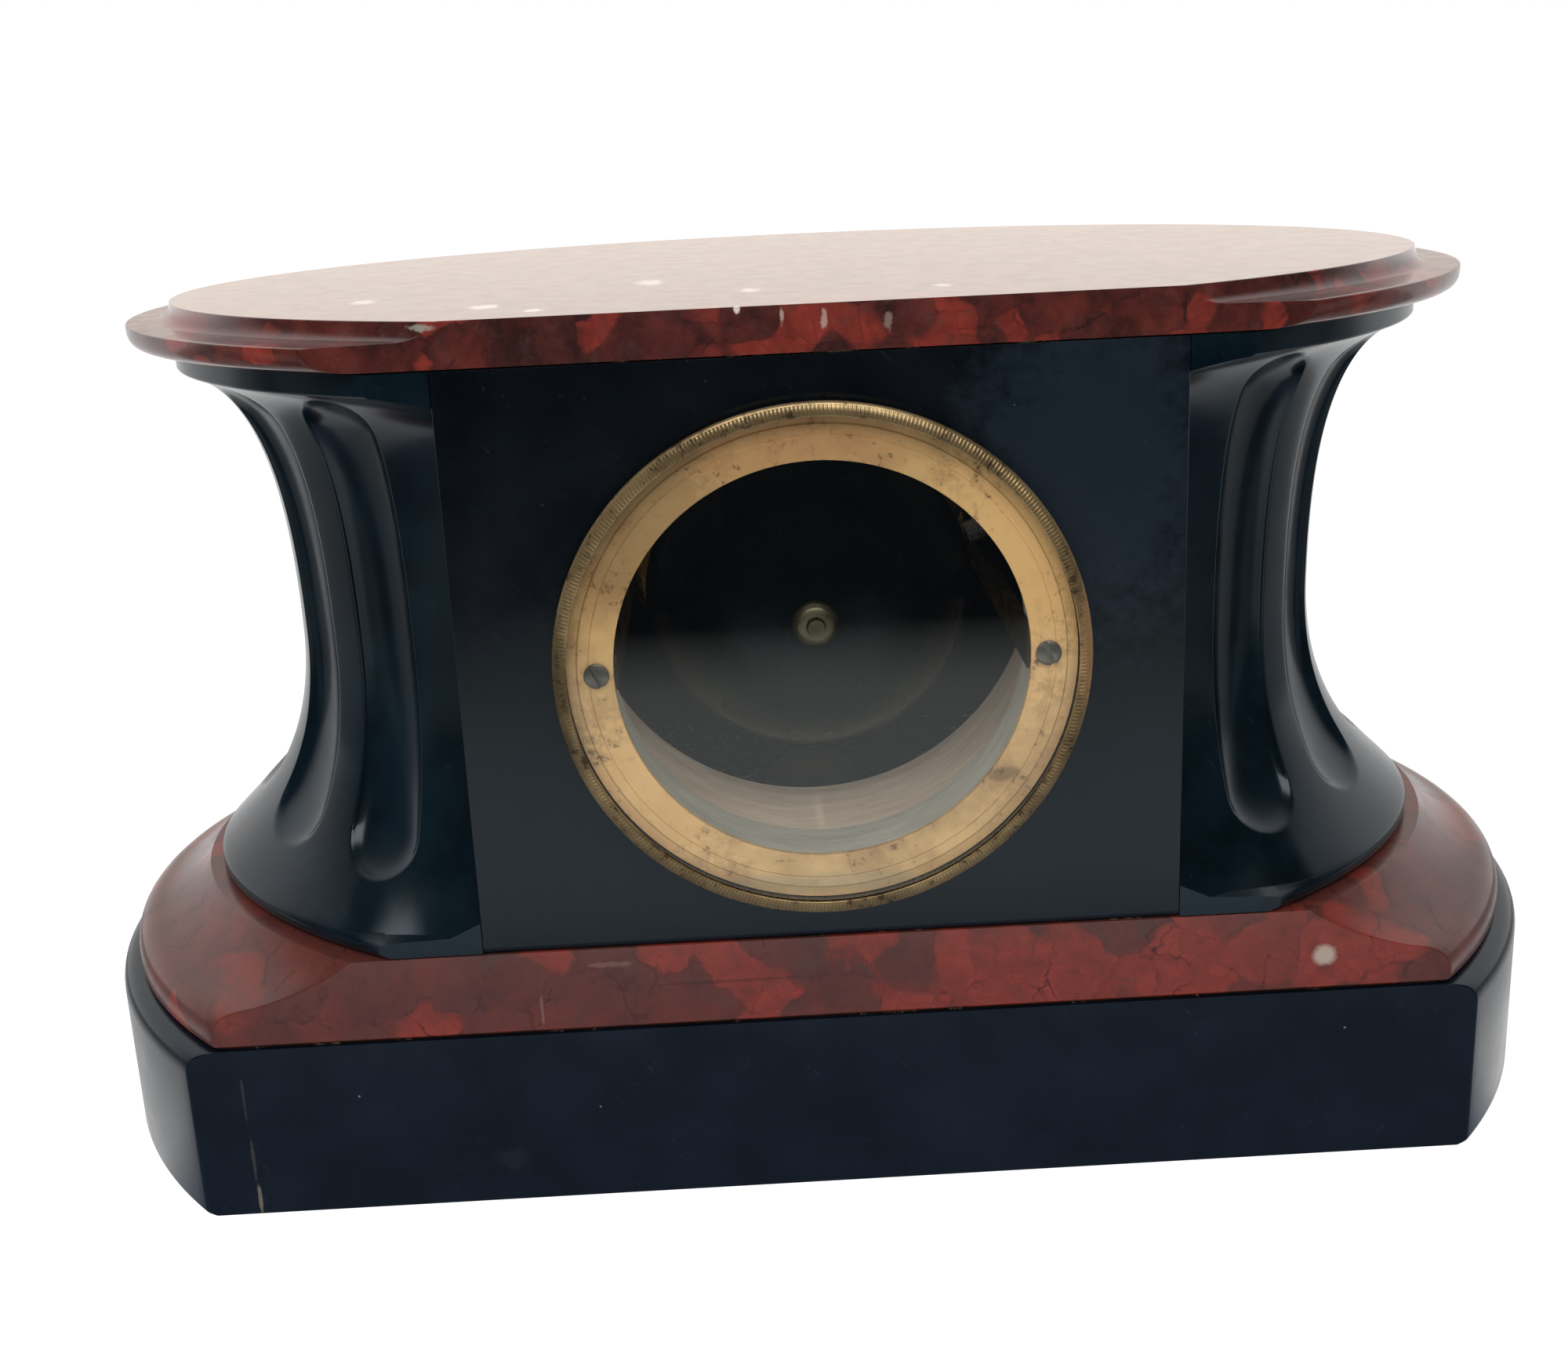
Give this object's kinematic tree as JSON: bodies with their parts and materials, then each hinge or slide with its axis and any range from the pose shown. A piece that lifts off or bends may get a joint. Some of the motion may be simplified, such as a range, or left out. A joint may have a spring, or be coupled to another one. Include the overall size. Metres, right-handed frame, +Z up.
{
  "type": "marble mantel clock",
  "caption": "Striking mantel clock in black slate and red marble, oval plan with fluted waisted ends, hinged glazed dial door and push-on glazed rear cover over the bell.",
  "frame": {"origin": "on the flat underside of the plinth, below the middle of the dial axis", "axes": "+X to the right when the dial is faced, +Y from the dial to the back, +Z up"},
  "size_m": [0.319, 0.173, 0.1805],
  "materials": {
    "slate": "polished black slate",
    "red_marble": "polished red marble with pale flecks",
    "plaster": "rough plaster and rubble fill",
    "brass": "lacquered brass",
    "tarnished_brass": "brown, knurled",
    "steel": "plain steel",
    "blued_steel": "heat blued",
    "bell_bronze": "dark polished bell metal",
    "enamel": "white enamel",
    "clear_glass": "clear"
  },
  "bodies": {
    "case": {"plinth": "slate", "base_moulding": "red_marble", "end_block_left": "slate", "end_block_right": "slate", "front_panel": "slate", "back_panel": "slate", "plaster_lining": "plaster", "top_slab": "red_marble", "back_ring": "brass", "case_strap_left": "brass", "case_strap_right": "brass", "strap_screw_left": "steel", "strap_screw_right": "steel", "front_ring": "brass", "dial": "enamel", "door_hinge_pin": "steel", "front_plate": "brass", "back_plate": "brass", "pillar_1": "brass", "pillar_2": "brass", "pillar_3": "brass", "pillar_4": "brass", "minute_wheel_post": "steel", "suspension_cock": "brass", "bell_stand": "steel", "bell": "bell_bronze", "bell_nut": "steel"},
    "rear_cover": {"rear_cover_bezel": "tarnished_brass", "rear_cover_glass": "clear_glass"},
    "front_door": {"door_bezel": "brass", "door_glass": "clear_glass"},
    "minute_work": {"cannon_pinion": "brass", "minute_hand": "blued_steel", "hand_collet": "brass"},
    "motion_wheel": {"minute_wheel": "brass"},
    "hour_work": {"hour_wheel": "brass", "hour_hand": "blued_steel"},
    "escape": {"escape_wheel": "brass"},
    "third": {"third_wheel": "brass"},
    "centre": {"centre_wheel": "brass"},
    "second": {"second_wheel": "brass"},
    "going_drum": {"going_barrel": "brass", "going_mainspring": "steel"},
    "going_winder": {"going_winding_arbor": "steel", "going_ratchet": "steel"},
    "going_pawl": {"going_click": "steel"},
    "strike_fly": {"fly": "brass"},
    "strike_locking": {"locking_wheel": "brass"},
    "strike_pins": {"pin_wheel": "brass"},
    "strike_drum": {"strike_barrel": "brass", "strike_mainspring": "steel"},
    "strike_winder": {"strike_winding_arbor": "steel", "strike_ratchet": "steel"},
    "strike_pawl": {"strike_click": "steel"},
    "pendulum": {"suspension_spring": "steel", "pendulum_rod": "steel", "pendulum_bob": "brass", "rating_nut": "brass"},
    "anchor": {"pallets": "steel"},
    "bell_hammer": {"hammer": "steel"}
  },
  "joints": [
    {"name": "rear_cover_pull", "type": "slide", "parent": "case", "child": "rear_cover", "axis": [0, 1, 0], "range_m": [0, 0.03]},
    {"name": "front_door_hinge", "type": "hinge", "parent": "case", "child": "front_door", "pos_m": [-0.051, -0.0675, 0.1131], "axis": [0, 0, -1], "range_deg": [0, 110]},
    {"name": "minute_hand_turn", "type": "hinge", "parent": "case", "child": "minute_work", "pos_m": [0, -0.06, 0.1131], "axis": [0, 1, 0], "continuous": true},
    {"name": "motion_wheel_turn", "type": "hinge", "parent": "case", "child": "motion_wheel", "pos_m": [0, -0.052, 0.1236], "axis": [0, 1, 0], "continuous": true},
    {"name": "hour_hand_turn", "type": "hinge", "parent": "case", "child": "hour_work", "pos_m": [0, -0.058, 0.1131], "axis": [0, 1, 0], "continuous": true},
    {"name": "escape_turn", "type": "hinge", "parent": "case", "child": "escape", "pos_m": [0, -0.03, 0.1361], "axis": [0, 1, 0], "continuous": true},
    {"name": "third_turn", "type": "hinge", "parent": "case", "child": "third", "pos_m": [0.00809, -0.03, 0.12619], "axis": [0, 1, 0], "continuous": true},
    {"name": "centre_turn", "type": "hinge", "parent": "case", "child": "centre", "pos_m": [0, -0.03, 0.1131], "axis": [0, 1, 0], "continuous": true},
    {"name": "second_turn", "type": "hinge", "parent": "case", "child": "second", "pos_m": [-0.00019, -0.03, 0.09762], "axis": [0, 1, 0], "continuous": true},
    {"name": "going_drum_turn", "type": "hinge", "parent": "case", "child": "going_drum", "pos_m": [0.019, -0.03, 0.1011], "axis": [0, 1, 0], "continuous": true},
    {"name": "going_winding", "type": "hinge", "parent": "case", "child": "going_winder", "pos_m": [0.019, -0.03, 0.1011], "axis": [0, 1, 0], "continuous": true},
    {"name": "going_click_lift", "type": "hinge", "parent": "case", "child": "going_pawl", "pos_m": [0.0255, -0.05, 0.1141], "axis": [0, 1, 0], "range_deg": [0, 12], "stiffness_Nm_per_rad": 0.01},
    {"name": "fly_turn", "type": "hinge", "parent": "case", "child": "strike_fly", "pos_m": [-0.01516, -0.03, 0.14039], "axis": [0, 1, 0], "continuous": true},
    {"name": "locking_turn", "type": "hinge", "parent": "case", "child": "strike_locking", "pos_m": [-0.02118, -0.03, 0.1324], "axis": [0, 1, 0], "continuous": true},
    {"name": "pin_wheel_turn", "type": "hinge", "parent": "case", "child": "strike_pins", "pos_m": [-0.01448, -0.03, 0.1208], "axis": [0, 1, 0], "continuous": true},
    {"name": "strike_drum_turn", "type": "hinge", "parent": "case", "child": "strike_drum", "pos_m": [-0.02, -0.03, 0.1021], "axis": [0, 1, 0], "continuous": true},
    {"name": "strike_winding", "type": "hinge", "parent": "case", "child": "strike_winder", "pos_m": [-0.02, -0.03, 0.1021], "axis": [0, 1, 0], "continuous": true},
    {"name": "strike_click_lift", "type": "hinge", "parent": "case", "child": "strike_pawl", "pos_m": [-0.0265, -0.05, 0.1151], "axis": [0, -1, 0], "range_deg": [0, 12], "stiffness_Nm_per_rad": 0.01},
    {"name": "pendulum_swing", "type": "hinge", "parent": "case", "child": "pendulum", "pos_m": [0, 0.002, 0.1483], "axis": [0, 1, 0], "range_deg": [-4, 4]},
    {"name": "anchor_rock", "type": "hinge", "parent": "case", "child": "anchor", "pos_m": [0, -0.03, 0.1483], "axis": [0, 1, 0], "range_deg": [-4, 4]},
    {"name": "hammer_lift", "type": "hinge", "parent": "case", "child": "bell_hammer", "pos_m": [-0.034, -0.03, 0.1171], "axis": [0, -1, 0], "range_deg": [0, 15], "stiffness_Nm_per_rad": 0.05}
  ],
  "couplings": [
    {"joint": "motion_wheel_turn", "follows": "minute_hand_turn", "ratio": -0.33333},
    {"joint": "hour_hand_turn", "follows": "minute_hand_turn", "ratio": 0.083333},
    {"joint": "third_turn", "follows": "escape_turn", "ratio": -0.25},
    {"joint": "centre_turn", "follows": "escape_turn", "ratio": 0.0625},
    {"joint": "second_turn", "follows": "escape_turn", "ratio": -0.015625},
    {"joint": "going_drum_turn", "follows": "escape_turn", "ratio": 0.0028409},
    {"joint": "locking_turn", "follows": "fly_turn", "ratio": -0.25},
    {"joint": "pin_wheel_turn", "follows": "fly_turn", "ratio": 0.0625},
    {"joint": "strike_drum_turn", "follows": "fly_turn", "ratio": -0.011364},
    {"joint": "anchor_rock", "follows": "pendulum_swing", "ratio": 1}
  ]
}
